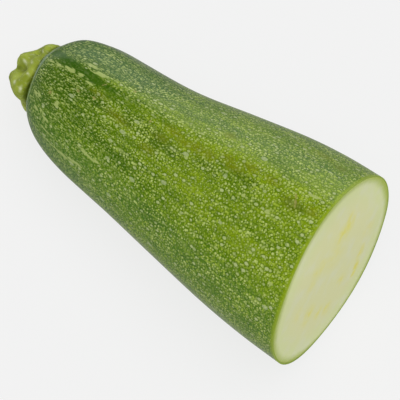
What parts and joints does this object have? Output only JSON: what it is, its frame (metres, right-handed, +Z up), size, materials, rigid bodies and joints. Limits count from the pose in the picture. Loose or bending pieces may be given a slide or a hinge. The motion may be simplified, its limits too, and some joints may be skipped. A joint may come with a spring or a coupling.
{
  "type": "courgette half",
  "caption": "Stem half of a green speckled courgette, cut straight across, lying on its side with the pale cut face at one end and the ridged stem stub at the other.",
  "frame": {"origin": "on the table, under the middle of the whole half's bounding box", "axes": "+X along the fruit from the stem to the cut face, +Z up as it lies on its side, +Y to the left seen from the stem end"},
  "size_m": [0.1098, 0.054, 0.054],
  "materials": {
    "skin": "waxy satin green skin with pale speckles",
    "flesh": "moist pale yellow-green flesh of the cut face",
    "stem": "matt yellow-green stem, fibrous at its cut end"
  },
  "bodies": {
    "root": {"fruit": "skin", "stem": "stem"}
  },
  "joints": []
}
